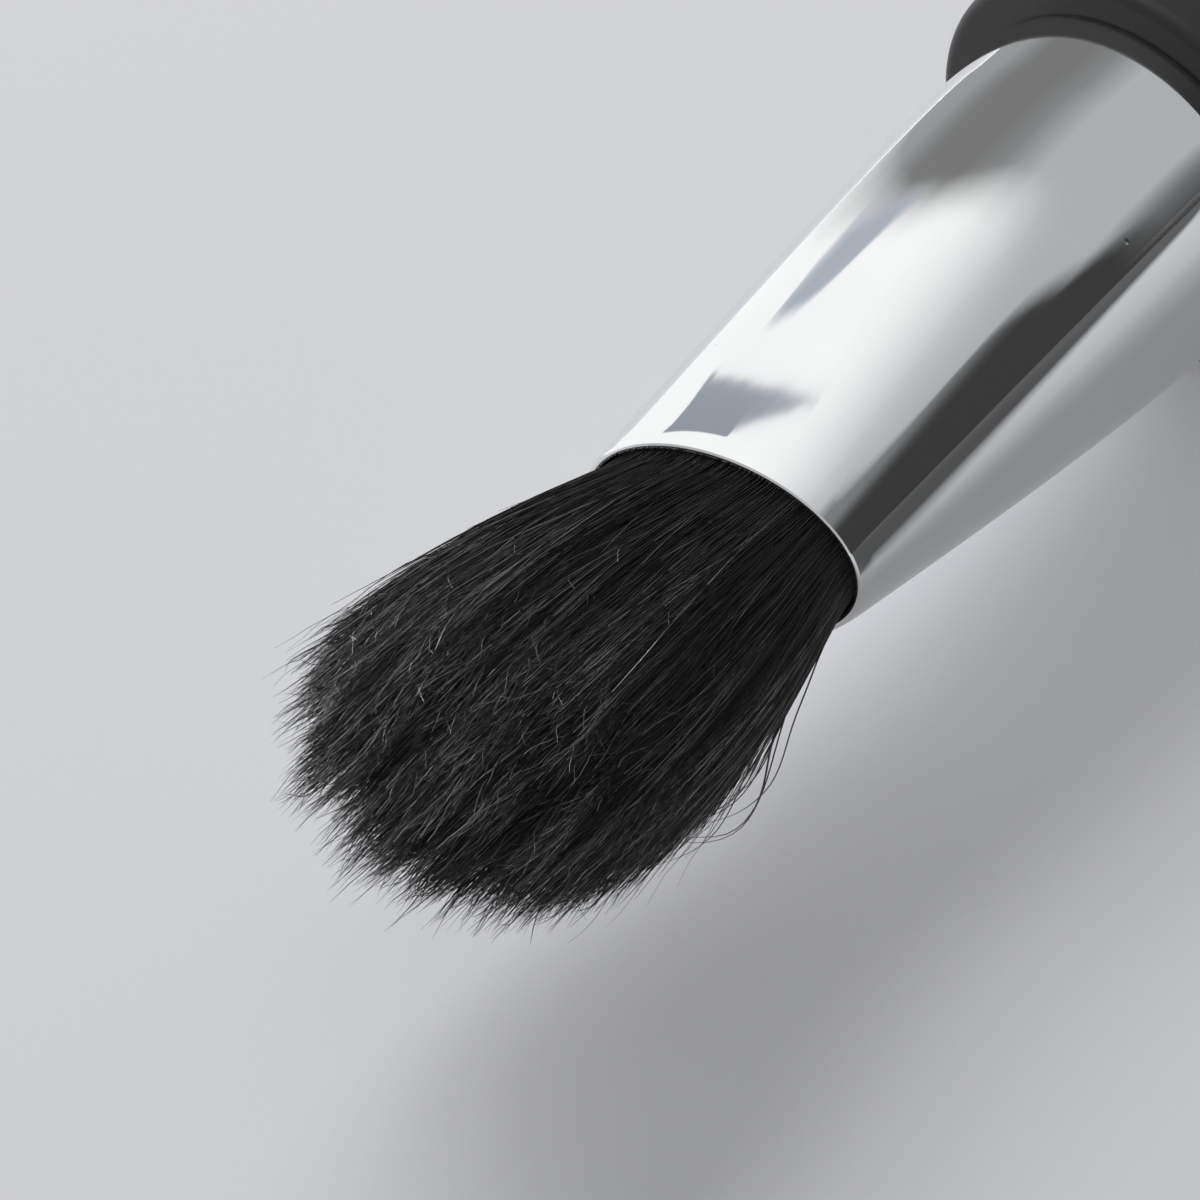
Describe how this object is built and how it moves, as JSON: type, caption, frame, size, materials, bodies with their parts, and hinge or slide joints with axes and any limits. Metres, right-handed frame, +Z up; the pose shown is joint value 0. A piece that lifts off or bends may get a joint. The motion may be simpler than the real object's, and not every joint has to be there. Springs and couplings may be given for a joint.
{
  "type": "eyeshadow brush",
  "caption": "Slim eyeshadow brush: turned black handle with a belly behind a polished oval-mouthed ferrule and a domed tuft of soft dark hair, lying flat.",
  "frame": {"origin": "centre of the base of the bounding box, on the surface that the brush lies on", "axes": "+X along the brush towards the tip of the hair, +Y across its broad faces, +Z up; the axis of the brush rises 1.57 degrees towards +X, because it rests on its tail and its belly"},
  "size_m": [0.1706, 0.0114, 0.0116],
  "materials": {
    "lacquered_wood": "satin black lacquer",
    "glue": "dried glue",
    "polished_aluminium": "polished",
    "resin": "cast resin",
    "hair": "soft hair with a faint sheen",
    "thread": "cotton thread"
  },
  "bodies": {
    "root": {"handle": "lacquered_wood", "tenon_glue": "glue", "ferrule": "polished_aluminium", "epoxy_plug": "resin", "root_bundle": "hair", "root_binding": "thread", "hair_tuft": "hair"}
  },
  "joints": []
}
